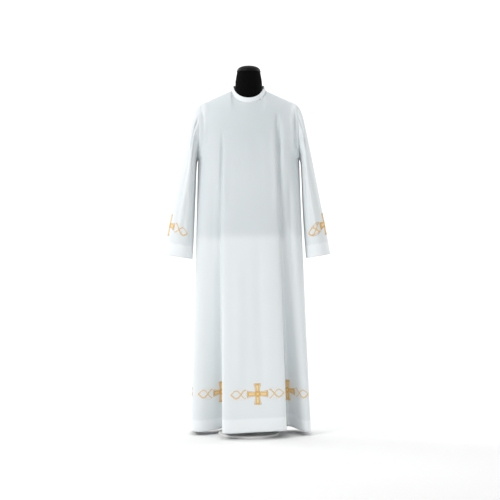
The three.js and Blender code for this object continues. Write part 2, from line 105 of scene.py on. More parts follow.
BACK_LINES = [
    (-1.0, -217, 5, -243, 20, 4, 1.0),
    (-0.95, -215, 38, -255, 60, 3, 1.0),
    (-0.87, -202, 66, -240, 94, 2, 1.0),
    (-0.77, -176, 88, -205, 80, 3, 1.1),
    (-0.67, -150, 98, -172, 56, 6, 1.3),
    (-0.57, -126, 104, -146, 84, 6, 1.1),
    (-0.48, -104, 108, -124, 132, 4, 1.0),
    (-NECK_AT, -78, 110, -88, 136, 4, 1.0),
    (-2 * NECK_AT / 3, -53, 111, -58, 98, 7, 1.2),
    (-NECK_AT / 3, -27, 110, -32, 66, 9, 1.3),
    (0.0, 0, 112, -6, 94, 8, 1.1),
    (NECK_AT / 3, 26, 115, 20, 138, 6, 1.0),
    (2 * NECK_AT / 3, 52, 115, 54, 144, 6, 1.0),
    (NECK_AT, 78, 111, 84, 110, 7, 1.1),
    (0.47, 102, 106, 112, 66, 9, 1.3),
    (0.58, 127, 103, 140, 74, 8, 1.2),
    (0.68, 150, 98, 168, 114, 5, 1.0),
    (0.78, 176, 88, 206, 118, 4, 1.0),
    (0.88, 202, 66, 242, 86, 3, 1.0),
    (0.95, 213, 38, 264, 58, 3, 1.0),
    (1.0, 216, 5, 258, 20, 4, 1.0),
]
RING_COLUMNS = ("out_x", "out_z", "in_x", "in_z", "mid_y", "depth")
RIGHT_RINGS = [
    (-205, SHOULDER_TIP_Z, -217, UNDERARM_Z, SEAM_Y, ARMHOLE_HALF_DEPTH),
    (-229, 1391, -222, 1173, 4, 90),
    (-244, 1334, -225, 1150, 2, 102),
    (-260, 1255, -227, 1105, 0, 106),
    (-287, 1142, -229, 1035, -2, 98),
    (-315, 1015, -233, 935, -4, 85),
    (-340, 900, -236, 848, -6, 73),
    (-364, 772, -241, 752, -8, 62),
]
LEFT_RINGS = [
    (205, SHOULDER_TIP_Z, 217, UNDERARM_Z, SEAM_Y, ARMHOLE_HALF_DEPTH),
    (227, 1391, 222, 1173, 4, 90),
    (239, 1334, 225, 1150, 2, 102),
    (256, 1262, 227, 1105, 0, 106),
    (278, 1150, 229, 1035, -1, 98),
    (303, 1020, 233, 935, -2, 85),
    (326, 905, 239, 848, -3, 73),
    (351, 774, 246, 756, -4, 62),
]
FORM_RINGS = [
    (847, 150, 90, 82), (849, 156, 96, 88), (856, 162, 102, 94), (900, 164, 104, 96), (970, 159, 99, 95),
    (1060, 140, 86, 84), (1150, 148, 93, 88), (1240, 161, 106, 96), (1298, 167, 109, 98),
    (1345, 173, 100, 96), (1380, 180, 84, 88), (1398, 180, 68, 76), (1412, 168, 52, 62),
    (1426, 142, 40, 50), (1440, 110, 33, 42), (1452, 84, 30, 38), (1462, 64, 28, 36), (1464, 40, 20, 28),
]
FORM_SQUARENESS = 2.2
NECK_PROFILE = [
    (0, 1374), (40, 1374), (56, 1376), (57, 1440), (58, 1490), (57, 1512), (53.5, 1534), (50.5, 1550),
    (49.5, 1553), (0, 1553),
]
CAP_PROFILE = [
    (0, 1553.3), (49, 1553.3), (51, 1554.3), (51.3, 1556), (51, 1557.5), (49, 1564), (44, 1570.5),
    (36, 1575.5), (25, 1579), (12, 1581), (0, 1581.3),
]
POLE_PROFILE = [
    (0, 26.3), (17, 26.3), (17, 34), (14, 36), (14, 832), (20, 834), (20, 846.7), (0, 846.7),
]
BASE_PROFILE = [
    (0, 0), (127, 0), (129, 0.6), (130, 2), (130, 8), (129.4, 9.4), (128, 10), (34, 10), (31, 11), (29.5, 14),
    (28.5, 24), (27.5, 26), (0, 26),
]

# Soft troughs of the cloth, worked in where it turns in towards a seam or a fold. Places are across and
# up the front in millimetres; a negative depth stands proud.
CREASE_COLUMNS = ("x0", "z0", "x1", "z1", "width", "depth")
FRONT_CREASES = [
    (-196, 1396, -194, 1190, 7, 5.5), (-184, 1350, -190, 1215, 9, -2.5),
    (196, 1404, 203, 1196, 7, 5.0), (184, 1372, 196, 1240, 9, -2.5),
    (-112, 1300, -114, 900, 6, 5.5), (-100, 1260, -98, 940, 12, -2.0),
    (122, 1385, 126, 1180, 9, 4.5), (132, 1360, 132, 1000, 8, 6.0), (104, 1330, 116, 900, 12, -2.5),
    (-150, 1150, -152, 700, 16, 2.5), (40, 900, 60, 120, 22, 2.0), (-40, 820, -44, 160, 24, -2.0),
    (170, 1120, 190, 600, 12, 4.0), (10, 1330, 60, 1120, 30, 1.2),
]
BACK_CREASES = [
    (-192, 1392, -190, 1190, 8, 5.0), (192, 1396, 194, 1200, 8, 5.0),
    (-60, 1340, -52, 1000, 14, 3.0), (58, 1330, 70, 960, 12, 3.5), (0, 1300, -10, 900, 16, 2.5),
    (-140, 1150, -150, 700, 14, 3.0), (120, 1130, 126, 760, 12, 3.0),
]
# Along a sleeve: turn is the angle from its outer fold towards the front, down its share of the length
SLEEVE_CREASES = [
    (62, 0.00, 78, 0.42, 7, 7.0), (96, 0.02, 112, 0.50, 8, 6.5), (40, 0.10, 48, 0.62, 9, 4.0),
    (132, 0.10, 140, 0.70, 9, 4.0), (75, 0.38, 66, 0.92, 12, 3.0), (20, 0.30, 28, 0.80, 10, 2.5),
    (-70, 0.02, -84, 0.45, 8, 6.0), (-110, 0.05, -118, 0.60, 9, 5.0), (-40, 0.25, -48, 0.80, 11, 3.0),
    (-90, 0.55, -76, 0.95, 12, 2.5), (100, 0.60, 104, 0.93, 12, 2.5),
]


def column(rows, k):
    return np.array([row[k] for row in rows], float)


def smooth(values, place):
    """A cubic B-spline through a table's column that starts and ends on its first and last rows."""
    last = len(values) - 1
    i = np.minimum(place.astype(int), last - 1)
    t = place - i
    padded = np.concatenate([[2 * values[0] - values[1]], values, [2 * values[-1] - values[-2]]])
    weights = ((1 - t) ** 3, 3 * t**3 - 6 * t**2 + 4, -3 * t**3 + 3 * t**2 + 3 * t + 1, t**3)
    return sum(w / 6 * padded[i + k] for k, w in enumerate(weights))


def direct(values, place):
    return np.interp(place, np.arange(len(values)), values)


def ease(share):
    s = np.clip(share, 0, 1)
    return s * s * (3 - 2 * s)


def mix(a, b, t):
    return a + (b - a) * t


def hermite(start, leaving, end, arriving, t):
    return (
        (2 * t**3 - 3 * t**2 + 1) * start
        + (t**3 - 2 * t**2 + t) * leaving
        + (3 * t**2 - 2 * t**3) * end
        + (t**3 - t**2) * arriving
    )


def neckline(half, share):
    angle = share * math.pi / 2
    reach = np.cos(angle)
    return np.stack(
        [
            NECK_SIDE_X * np.sin(angle),
            SEAM_Y + half["turn"] * half["neck_depth"] * reach,
            NECK_SIDE_Z - half["neck_drop"] * reach,
        ],
        -1,
    )


def top_edge(half, at):
    share = (np.abs(at) - NECK_AT) / (1 - NECK_AT)
    shoulder = np.stack(
        [
            np.sign(at) * mix(NECK_SIDE_X, ARMHOLE_X - ARMHOLE_LEAN, share),
            np.full_like(at, SEAM_Y + half["turn"] * SEAM_GAP / 2),
            mix(NECK_SIDE_Z, SHOULDER_TIP_Z, share),
        ],
        -1,
    )
    return np.where((share >= 0)[:, None], shoulder, neckline(half, at / NECK_AT))


def bust_line(half, at):
    rounding = np.maximum(0, 1 - at * at) ** 0.8
    return np.stack(
        [ARMHOLE_X * at, half["turn"] * mix(half["edge"], half["middle"], rounding), np.full_like(at, BUST_Z)],
        -1,
    )


def armhole(half, side, angle):
    depth = ARMHOLE_HALF_DEPTH * math.sin(angle) + SEAM_GAP / 2
    return np.stack(
        [
            side * (ARMHOLE_X - ARMHOLE_LEAN * math.cos(angle)),
            np.full_like(side, SEAM_Y + half["turn"] * depth),
            np.full_like(side, BUST_Z + (BUST_Z - UNDERARM_Z) * math.cos(angle)),
        ],
        -1,
    )


def yoke(half, at, t):
    top, bust = top_edge(half, at), bust_line(half, at)
    forward = np.abs(bust[:, 1] - top[:, 1])
    drop = top[:, 2] - bust[:, 2]
    on_neck = np.abs(top[:, 1] - SEAM_Y) / half["neck_depth"]
    none = np.zeros_like(at)
    leaving = np.stack([none, half["turn"] * 1.35 * forward, -mix(0.25, 0.9, on_neck) * drop], -1)
    arriving = np.stack([none, half["turn"] * 0.12 * forward, -1.35 * drop], -1)
    return hermite(top, leaving, bust, arriving, t)


def under_line(lines, half, place):
    edge = (place == 0) | (place == len(lines) - 1)
    y = smooth(column(lines, 2), place) + np.where(edge, half["turn"] * SEAM_GAP / 2, 0)
    return np.stack([smooth(column(lines, 1), place), y, np.full_like(place, UNDERARM_Z)], -1)


def chest(lines, half, place, t):
    fall = np.array([0, 0, UNDERARM_Z - BUST_Z])
    bust = bust_line(half, direct(column(lines, 0), place))
    return hermite(bust, fall, under_line(lines, half, place), fall, t)


def drawn(points, plain, edge, at):
    pull = ease(1 - (1 - np.abs(at)) / ARMHOLE_EASE)
    return points + (edge - plain) * pull[:, None]


def panel_row(lines, half, place, v):
    """A row of a panel: v runs 0 to 1 over the yoke, to 2 down the armhole and to 3 down the skirt."""
    at = direct(column(lines, 0), place)
    side = np.where(at < 0, -1.0, 1.0)
    ends = np.where(at < 0, 0.0, len(lines) - 1.0)
    if v < 1:
        edge = armhole(half, side, v * math.pi / 2)
        return drawn(yoke(half, at, v), yoke(half, side, v), edge, at)
    if v < 2:
        t = v - 1
        edge = armhole(half, side, (1 + t) * math.pi / 2)
        return drawn(chest(lines, half, place, t), chest(lines, half, ends, t), edge, at)
    t = v - 2
    under = under_line(lines, half, place)
    opened = t ** direct(column(lines, 6), place)
    hem = np.stack(
        [
            smooth(column(lines, 3), place),
            smooth(column(lines, 4), place),
            HEM_Z + smooth(column(lines, 5), place),
        ],
        -1,
    )
    made = under.copy()
    made[:, :2] = mix(under[:, :2], hem[:, :2], opened[:, None])
    made[:, 2] = mix(under[:, 2], hem[:, 2], t)
    return made


def normals_of(grid, closed, outward):
    if closed:
        across = np.roll(grid, -1, 1) - np.roll(grid, 1, 1)
    else:
        across = np.gradient(grid, axis=1)
    normal = np.cross(across, np.gradient(grid, axis=0)) * outward
    return normal / np.maximum(np.linalg.norm(normal, axis=2, keepdims=True), 1e-9)


def trough(across, along, crease):
    """How deep a crease is at each point: soft across its width and fading out at both ends."""
    x0, z0, x1, z1, width, depth = crease
    run = np.clip((along - z0) / (z1 - z0), -0.5, 1.5)
    middle = x0 + (x1 - x0) * run + 2.0 * np.sin(run * 7 + x0)
    fade = ease(np.minimum(run, 1 - run) * 4.0)
    return 1.5 * depth * fade * np.exp(-(((across - middle) / width) ** 2))


class Cloth:
    """A cut piece: its outer points in metres, its normals, and what the finish needs at each point."""

    def __init__(self, grid, closed, outward):
        self.closed = closed
        self.grid = grid * MM
        self.normal = normals_of(self.grid, closed, outward)

    def press(self, depth):
        """Moves the cloth in by a depth in millimetres at each point."""
        self.grid = self.grid - self.normal * (depth * MM)[:, :, None]

    def at(self, row, col):
        """The point and the normal at a fractional row and column."""
        rows, cols = self.grid.shape[:2]
        row = np.clip(row, 0, rows - 1.001)
        col = np.mod(col, cols) if self.closed else np.clip(col, 0, cols - 1.001)
        i, j = row.astype(int), col.astype(int)
        a, b = (row - i)[:, None], (col - j)[:, None]
        k = (j + 1) % cols if self.closed else j + 1

        def read(values):
            upper = mix(values[i, j], values[i, k], b)
            return mix(upper, mix(values[i + 1, j], values[i + 1, k], b), a)

        return read(self.grid), read(self.normal)


def sheet_mesh(name, grid, closed, wall, shades):
    """One open sheet of quads with a real thickness that goes inwards."""
    rows, cols = grid.shape[:2]
    ids = np.arange(rows * cols).reshape(rows, cols)
    left, right = ids, np.roll(ids, -1, 1)
    if not closed:
        left, right = ids[:, :-1], ids[:, 1:]
    faces = np.stack([left[:-1], right[:-1], right[1:], left[1:]], -1).reshape(-1, 4)
    made = new_piece(name, grid.reshape(-1, 3), faces)
    for shade, values in shades.items():
        made.data.attributes.new(shade, "FLOAT", "POINT").data.foreach_set("value", values.ravel())
    thick = made.modifiers.new("wall", "SOLIDIFY")
    thick.thickness = wall
    thick.offset = -1
    return made


def new_piece(name, points, faces):
    mesh = bpy.data.meshes.new(name)
    mesh.from_pydata([tuple(p) for p in points], [], [tuple(map(int, f)) for f in faces])
    mesh.validate()
    mesh.polygons.foreach_set("use_smooth", [True] * len(mesh.polygons))
    made = bpy.data.objects.new(name, mesh)
    bpy.context.scene.collection.objects.link(made)
    return made


def finish_piece(piece, slot, material, *nodes):
    piece.data.materials.append(material)
    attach(piece, BODY)
    if nodes:
        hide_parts(*nodes)
    return piece


# ---- finishes ----
class Value:
    """A shader value; Python's own operators on it add Math nodes."""

    def __init__(self, shader, socket):
        self.shader = shader
        self.socket = socket

    def _maths(self, operation, first, second):
        return self.shader.node("ShaderNodeMath", {"operation": operation}, {0: first, 1: second})

    def __add__(self, other):
        return self._maths("ADD", self, other)

    def __sub__(self, other):
        return self._maths("SUBTRACT", self, other)

    def __rsub__(self, other):
        return self._maths("SUBTRACT", other, self)

    def __mul__(self, other):
        return self._maths("MULTIPLY", self, other)

    __radd__ = __add__
    __rmul__ = __mul__


class Shader:
    """A material's node tree, built one node at a time."""

    def __init__(self, name):
        self.material = bpy.data.materials.new(name)
        self.material.use_nodes = True
        self.tree = self.material.node_tree
        self.tree.nodes.clear()

    def node(self, kind, settings, sockets, output=0):
        made = self.tree.nodes.new(kind)
        for key, value in settings.items():
            setattr(made, key, value)
        for key, value in sockets.items():
            if isinstance(value, Value):
                self.tree.links.new(value.socket, made.inputs[key])
            else:
                made.inputs[key].default_value = value
        return Value(self, made.outputs[output]) if len(made.outputs) else None

    def shade(self, name):
        return self.node("ShaderNodeAttribute", {"attribute_name": name}, {}, "Fac")

    def place(self):
        return self.node("ShaderNodeTexCoord", {}, {}, "Object")

    def noise(self, scale, detail=2.0):
        sockets = {"Vector": self.place(), "Scale": scale, "Detail": detail}
        return self.node("ShaderNodeTexNoise", {}, sockets, "Fac")

    def threads(self, direction, scale):
        settings = {"wave_type": "BANDS", "bands_direction": direction}
        sockets = {"Vector": self.place(), "Scale": scale, "Distortion": 0.6, "Detail": 1.0}
        return self.node("ShaderNodeTexWave", settings, sockets, "Fac")

    def blend(self, factor, first, second):
        settings = {"data_type": "RGBA"}
        made = self.tree.nodes.new("ShaderNodeMix")
        for key, value in settings.items():
            setattr(made, key, value)
        for socket, value in ((made.inputs[0], factor), (made.inputs[6], first), (made.inputs[7], second)):
            if isinstance(value, Value):
                self.tree.links.new(value.socket, socket)
            else:
                socket.default_value = value
        return Value(self, made.outputs[2])

    def bump(self, height, strength, distance):
        sockets = {"Height": height, "Strength": strength, "Distance": distance}
        return self.node("ShaderNodeBump", {}, sockets)

    def surface(self, **sockets):
        named = {key.replace("_", " "): value for key, value in sockets.items()}
        made = self.node("ShaderNodeBsdfPrincipled", {}, named)
        self.node("ShaderNodeOutputMaterial", {}, {"Surface": made})
        return self.material


def rgba(colour):
    return (*colour, 1.0)


def alb_cloth(colours):
    """White cloth, with painted shade where the black form lies close behind it, and whiter where doubled."""
    s = Shader("alb_cloth")
    # Painted shade: the cloth goes greyer where the form lies close behind it.
    single = s.blend(s.shade("painted_form_shade"), rgba(colours.cloth), rgba(colours.cloth_in_painted_shade))
    doubled = s.blend(s.shade("doubled"), single, rgba(colours.doubled_cloth))
    colour = s.blend(s.noise(9.0, 4.0) * 0.12, doubled, rgba(colours.cloth_in_painted_shade))
    weave = s.threads("X", 520.0) + s.threads("Z", 520.0)
    height = weave * 0.35 + s.noise(38.0, 3.0) * 0.5
    rough = s.noise(60.0) * 0.1 + 0.78
    return s.surface(
        Base_Color=colour, Roughness=rough, Normal=s.bump(height, 0.18, 0.0015),
        Sheen_Weight=0.25, Sheen_Roughness=0.5, Specular_IOR_Level=0.25,
    )


def stitched(name, colour, dark):
    """Satin stitch: close threads that cross the run of each strand."""
    s = Shader(name)
    run = s.shade("run")
    thread = s.node("ShaderNodeMath", {"operation": "SINE"}, {0: run * 5200.0}) * 0.5 + 0.5
    tone = s.blend(thread * 0.35 + s.noise(150.0) * 0.35, rgba(colour), rgba(dark))
    return s.surface(
        Base_Color=tone, Roughness=0.42 + s.noise(200.0) * 0.1, Metallic=0.12,
        Normal=s.bump(thread, 0.5, 0.0005), Sheen_Weight=0.2,
    )


def plain_finish(name, colour, roughness, metallic, grain, depth, gloss=0.4):
    s = Shader(name)
    speck = s.noise(grain, 4.0)
    tone = s.blend(speck * 0.5, rgba(colour), rgba([min(1, c * 1.25 + 0.001) for c in colour]))
    return s.surface(
        Base_Color=tone, Roughness=roughness + speck * 0.12, Metallic=metallic,
        Normal=s.bump(speck, 0.25, depth), Specular_IOR_Level=gloss,
    )


def plain_property(name, text, value, **more):
    return FloatProperty(name=name, description=text, default=value, **more)


def colour_property(name, text, value):
    return FloatVectorProperty(
        name=name, description=text, default=value, subtype="COLOR", size=3, min=0, max=1
    )


class AlbSizes(bpy.types.PropertyGroup):
    """Sizes that a user would change."""

    wall: plain_property("Cloth", "Thickness of the single cloth", 0.0008, subtype="DISTANCE", unit="LENGTH")
    band: plain_property("Turn-up", "Depth of the doubled hem and cuffs", 0.053, subtype="DISTANCE")
    raised: plain_property("Relief", "Height of the embroidery", 0.0011, subtype="DISTANCE")
    motif: plain_property("Repeat", "Length of one repeat of the border", 0.240, subtype="DISTANCE")


class AlbColours(bpy.types.PropertyGroup):
    """Colours of the cloth, the threads and the form."""

    cloth: colour_property("Cloth", "Single cloth", (0.80, 0.84, 0.855))
    # Painted shade: the colour of the cloth where the black form shows through close behind it.
    cloth_in_painted_shade: colour_property("Over the form", "Cloth with the form behind", (0.62, 0.67, 0.69))
    doubled_cloth: colour_property("Doubled cloth", "Hem, cuffs and collar", (0.88, 0.915, 0.93))
    gold: colour_property("Gold thread", "Main embroidery thread", (0.87, 0.54, 0.15))
    gold_dark: colour_property("Dark gold thread", "Outlines", (0.62, 0.35, 0.08))
    cream: colour_property("Cream thread", "Fillings", (0.95, 0.80, 0.52))
    cover: colour_property("Form cover", "Black jersey", (0.0016, 0.0016, 0.002))


PANEL_VS = np.concatenate(
    [np.linspace(0, 1, 36, endpoint=False), np.linspace(1, 2, 22, endpoint=False), np.linspace(2, 3, 132)]
)
COLUMNS = 190
SLEEVE_RINGS = 150
SLEEVE_SIDES = 96
pieces = {}


def panel_cloth(lines, half, creases, outward):
    hem_run = np.hypot(np.diff(column(lines, 3)), np.diff(column(lines, 4))) + 8.0
    places = np.interp(
        np.linspace(0, 1, COLUMNS), np.concatenate([[0], np.cumsum(hem_run) / hem_run.sum()]),
        np.arange(len(lines)),
    )
    neck = [np.argmin(np.abs(direct(column(lines, 0), places) - side * NECK_AT)) for side in (-1, 1)]
    rows = column(lines, 0).tolist()
    places[neck[0]] = float(np.argmin(np.abs(np.array(rows) + NECK_AT)))
    places[neck[1]] = float(np.argmin(np.abs(np.array(rows) - NECK_AT)))
    grid = np.array([panel_row(lines, half, places, v) for v in PANEL_VS])
    cloth = Cloth(grid, False, outward)
    depth = sum(trough(grid[:, :, 0], grid[:, :, 2], crease) for crease in creases)
    at = np.abs(direct(column(lines, 0), places))[None, :]
    depth = depth * ease((1 - at) * 25) * ease(PANEL_VS[:, None] * 8)
    cloth.press(depth)
    cloth.above_hem = (grid[:, :, 2] - grid[-1:, :, 2]) * MM
    return cloth


def sleeve_cloth(rings, outward):
    shares = np.linspace(0, 1, SLEEVE_RINGS)
    place = shares * (len(rings) - 1)
    value = {name: smooth(column(rings, k), place) for k, name in enumerate(RING_COLUMNS)}
    side = math.copysign(1, rings[0][0])
    angle = np.arange(SLEEVE_SIDES) / SLEEVE_SIDES * 2 * math.pi
    outer = np.stack([value["out_x"], value["mid_y"], value["out_z"]], -1)
    inner = np.stack([value["in_x"], value["mid_y"], value["in_z"]], -1)
    middle = (outer + inner) / 2 + np.array([side * SEAM_GAP, 0, 0])
    reach = (outer - inner) / 2
    grid = middle[:, None] + reach[:, None] * np.cos(angle)[None, :, None]
    grid[:, :, 1] -= value["depth"][:, None] * np.sin(angle)[None]
    cloth = Cloth(grid, True, outward)
    turn = np.broadcast_to(((np.degrees(angle) + 180) % 360 - 180)[None], grid.shape[:2])
    down = np.broadcast_to(shares[:, None], grid.shape[:2])
    depth = sum(trough(turn, down, crease) for crease in SLEEVE_CREASES)
    inside = ease((150 - np.abs(turn)) / 30)
    cloth.press(depth * ease(down * 30) * ease((1 - down) * 12) * inside)
    cloth.above_hem = (grid[:, :, 2] - grid[-1:, :, 2]) * MM
    return cloth


def lofted_form():
    """The smooth torso: rounded rings with a flat face below."""
    knots = np.arange(len(FORM_RINGS), dtype=float)
    place = np.linspace(0, knots[-1], 120)
    z, half, front, back = (smooth(column(FORM_RINGS, k), place) for k in range(4))
    angle = np.arange(96) / 96 * 2 * math.pi
    cosine, sine = (np.sign(f(angle)) * np.abs(f(angle)) ** (2 / FORM_SQUARENESS) for f in (np.cos, np.sin))
    depth = np.where(sine[None] > 0, back[:, None], front[:, None])
    points = np.stack([half[:, None] * cosine, depth * sine, np.broadcast_to(z[:, None], depth.shape)], -1)
    foot = np.array([[0, 0, z[0]]]) + np.zeros((96, 1, 3)).transpose(1, 0, 2)
    head = np.array([[0, 0, z[-1]]]) + np.zeros((96, 1, 3)).transpose(1, 0, 2)
    return np.concatenate([foot, points, head]) * MM


def ring_piece(name, grid):
    rows, cols = grid.shape[:2]
    ids = np.arange(rows * cols).reshape(rows, cols)
    right = np.roll(ids, -1, 1)
    faces = np.stack([ids[:-1], right[:-1], right[1:], ids[1:]], -1).reshape(-1, 4)
    made = new_piece(name, grid.reshape(-1, 3), faces)
    weld(made)
    return made


def weld(piece):
    import bmesh

    work = bmesh.new()
    work.from_mesh(piece.data)
    bmesh.ops.remove_doubles(work, verts=work.verts, dist=1e-6)
    bmesh.ops.recalc_face_normals(work, faces=work.faces)
    work.to_mesh(piece.data)
    work.free()


def turned(name, profile, y=0.0, sides=96):
    radius, z = column(profile, 0), column(profile, 1)
    angle = np.arange(sides) / sides * 2 * math.pi
    grid = np.stack(
        [
            radius[:, None] * np.cos(angle),
            radius[:, None] * np.sin(angle) + y,
            np.broadcast_to(z[:, None], (len(z), sides)),
        ],
        -1,
    )
    made = ring_piece(name, grid * MM)
    made.data.set_sharp_from_angle(angle=math.radians(40))
    return made


def painted_form_shade(cloth):
    """How much painted shade the cloth gets from the form behind it: strong where the form lies just behind
    the cloth.
    """
    tree = BVHTree.FromPolygons(*pieces["form_shape"])
    shape = cloth.grid.shape[:2]
    shown = np.zeros(shape)
    for (i, j), _ in np.ndenumerate(shown):
        hit = tree.ray_cast(cloth.grid[i, j].tolist(), (-cloth.normal[i, j]).tolist(), 0.2)
        if hit[3] is not None:
            shown[i, j] = math.exp(-hit[3] / 0.09)
    for axis in (0, 1):
        for _ in range(3):
            before = np.roll(shown, 1, axis)
            after = np.roll(shown, -1, axis)
            shown = (before + 2 * shown + after) / 4
    return shown


def cloth_shades(cloth, sizes):
    doubled = (cloth.above_hem < sizes.band).astype(float) * (cloth.grid[:, :, 2] < 1.0)
    # Painted shade from the form behind, weaker on the doubled hem and cuffs.
    return {"painted_form_shade": painted_form_shade(cloth) * (1 - 0.6 * doubled), "doubled": doubled}


# ---- threads laid on the cloth ----
SECTION = np.array([(-1.0, 0.0), (-0.7, 0.7), (0.0, 1.0), (0.7, 0.7), (1.0, 0.0)])


class Threads:
    """Strands gathered into one mesh; each lies on the cloth along a line of the border."""

    def __init__(self):
        self.points, self.faces, self.run = [], [], []

    def lay(self, border, line, width, height, lift=0.0):
        """line: points along and above the border in millimetres; width: half width at each point."""
        line = np.asarray(line, float)
        width = np.broadcast_to(np.asarray(width, float), (len(line),))
        way = np.gradient(line, axis=0)
        way /= np.maximum(np.linalg.norm(way, axis=1, keepdims=True), 1e-9)
        square = np.stack([-way[:, 1], way[:, 0]], -1)
        spread = line[:, None] + square[:, None] * (width[:, None] * SECTION[:, 0])[:, :, None]
        point, normal = border.place(spread.reshape(-1, 2))
        rise = (SECTION[:, 1] * height + 0.15 + lift) * MM
        point = point + normal * np.tile(rise, len(line))[:, None]
        start = sum(len(p) for p in self.points)
        count = len(SECTION)
        ids = start + np.arange(len(line) * count).reshape(-1, count)
        faces = np.stack([ids[:-1, :-1], ids[:-1, 1:], ids[1:, 1:], ids[1:, :-1]], -1)
        self.points.append(point)
        self.faces.append(faces.reshape(-1, 4))
        steps = np.linalg.norm(np.diff(line, axis=0), axis=1)
        run = np.concatenate([[0], np.cumsum(steps)]) * MM
        self.run.append(np.repeat(run, count))

    def piece(self, name):
        made = new_piece(name, np.concatenate(self.points), np.concatenate(self.faces))
        run = np.concatenate(self.run)
        made.data.attributes.new("run", "FLOAT", "POINT").data.foreach_set("value", run)
        return made


class Border:
    """Runs along a piece at a height above its edge: along is millimetres, above is from the middle."""

    def __init__(self, cloth, height):
        self.cloth = cloth
        mean = cloth.above_hem.mean(1) / MM
        self.rows = np.arange(len(mean))[::-1]
        self.heights = mean[::-1]
        self.height = height
        row = np.interp(height, self.heights, self.rows)
        cols = np.arange(cloth.grid.shape[1] + (1 if cloth.closed else 0), dtype=float)
        line, _ = cloth.at(np.full(len(cols), row), cols)
        steps = np.linalg.norm(np.diff(line, axis=0), axis=1)
        self.cols = cols
        self.run = np.concatenate([[0], np.cumsum(steps)]) / MM
        self.length = self.run[-1]
        self.x, self.y = line[:, 0] / MM, line[:, 1] / MM

    def place(self, points):
        col = np.interp(points[:, 0], self.run, self.cols)
        if self.cloth.closed:
            col = np.interp(np.mod(points[:, 0], self.length), self.run, self.cols)
        row = np.interp(self.height + points[:, 1], self.heights, self.rows)
        return self.cloth.at(row, col)


def cross(threads, border, middle, size):
    """A flared cross: four broad arms with a pale slot each, dark edges and a round boss."""
    gold, dark, cream = threads
    reach = np.linspace(0.10, 1.0, 14)
    flare = size * (0.20 + 0.16 * reach**2.2)
    for quarter in range(4):
        c, s = math.cos(quarter * math.pi / 2), math.sin(quarter * math.pi / 2)

        def turned_line(along, off):
            return np.stack([middle + c * along - s * off, s * along + c * off], -1)

        arm = reach * size
        zero = np.zeros_like(arm)
        gold.lay(border, turned_line(arm, zero), flare, 1.1)
        cream.lay(border, turned_line(arm[3:-2], zero[3:-2]), flare[3:-2] * 0.36, 0.5, 1.0)
        for side in (-1, 1):
            dark.lay(border, turned_line(arm, side * flare), 1.1, 1.2)
        end = np.linspace(-1, 1, 9)
        dark.lay(border, turned_line(size * (1 + 0.05 * (1 - end**2)), end * flare[-1]), 1.2, 1.2)
    angle = np.linspace(0, 2 * math.pi, 25)
    ring = np.stack([middle + 0.2 * size * np.cos(angle), 0.2 * size * np.sin(angle)], -1)
    gold.lay(border, ring, 0.09 * size, 1.0, 1.0)
    cream.lay(border, [(middle - 0.1 * size, 0), (middle + 0.1 * size, 0)], 0.1 * size, 1.0, 1.2)


def interlace(threads, border, start, length, high):
    """Two strands that cross between fine bowed lines; it ends in a point."""
    gold, dark, cream = threads
    t = np.linspace(0, 1, 41)
    x = start + length * t
    taper = np.sqrt(np.clip(1 - t**4, 0.02, 1))
    for side in (-1, 1):
        wave = side * high * 0.7 * np.cos(t * 1.5 * math.pi) * taper
        line = np.stack([x, wave], -1)
        gold.lay(border, line, 2.4, 1.1, 0.4 * (side + 1))
        cream.lay(border, line, 0.7, 0.4, 1.2 + 0.4 * (side + 1))
        bow = side * high * np.sin(math.pi * (0.25 + 0.75 * t)) ** 0.8
        dark.lay(border, np.stack([x, bow], -1), 0.8, 0.7)
        gold.lay(border, np.stack([x, bow * 0.74], -1), 1.1, 0.7)


def repeat(threads, border, middle, size, gap, length, high):
    cross(threads, border, middle, size)
    for side in (-1, 1):
        interlace(threads, border, middle + side * gap, side * length, high)


def embroidered(name, borders, sizes, colours):
    """borders: each border with the middles of its crosses, the size of a cross, and its interlace."""
    threads = (Threads(), Threads(), Threads())
    for border, middles, size, gap, length, high in borders:
        for middle in middles:
            repeat(threads, border, middle, size, gap, length, high)
    looks = (("gold", colours.gold, colours.gold_dark), ("dark", colours.gold_dark, colours.gold_dark),
             ("cream", colours.cream, colours.gold))
    for group, (word, colour, shade) in zip(threads, looks):
        piece = group.piece(f"{name}_{word}")
        finish_piece(piece, "alb_cloth", stitched(f"{name}_{word}_thread", colour, shade))


def stitch_row(threads, border, height, start=0.0, end=None, stitch=3.2, gap=1.4):
    """A machine topstitch: short raised stitches on a line above the edge."""
    end = border.length if end is None else end
    x = start
    while x + stitch < end:
        threads.lay(border, [(x, height), (x + stitch / 2, height), (x + stitch, height)], 0.45, 0.35)
        x += stitch + gap


class AlbOperator:
    bl_options = {"REGISTER", "UNDO"}

    def execute(self, context):
        self.build(context.scene.alb_sizes, context.scene.alb_colours)
        return {"FINISHED"}


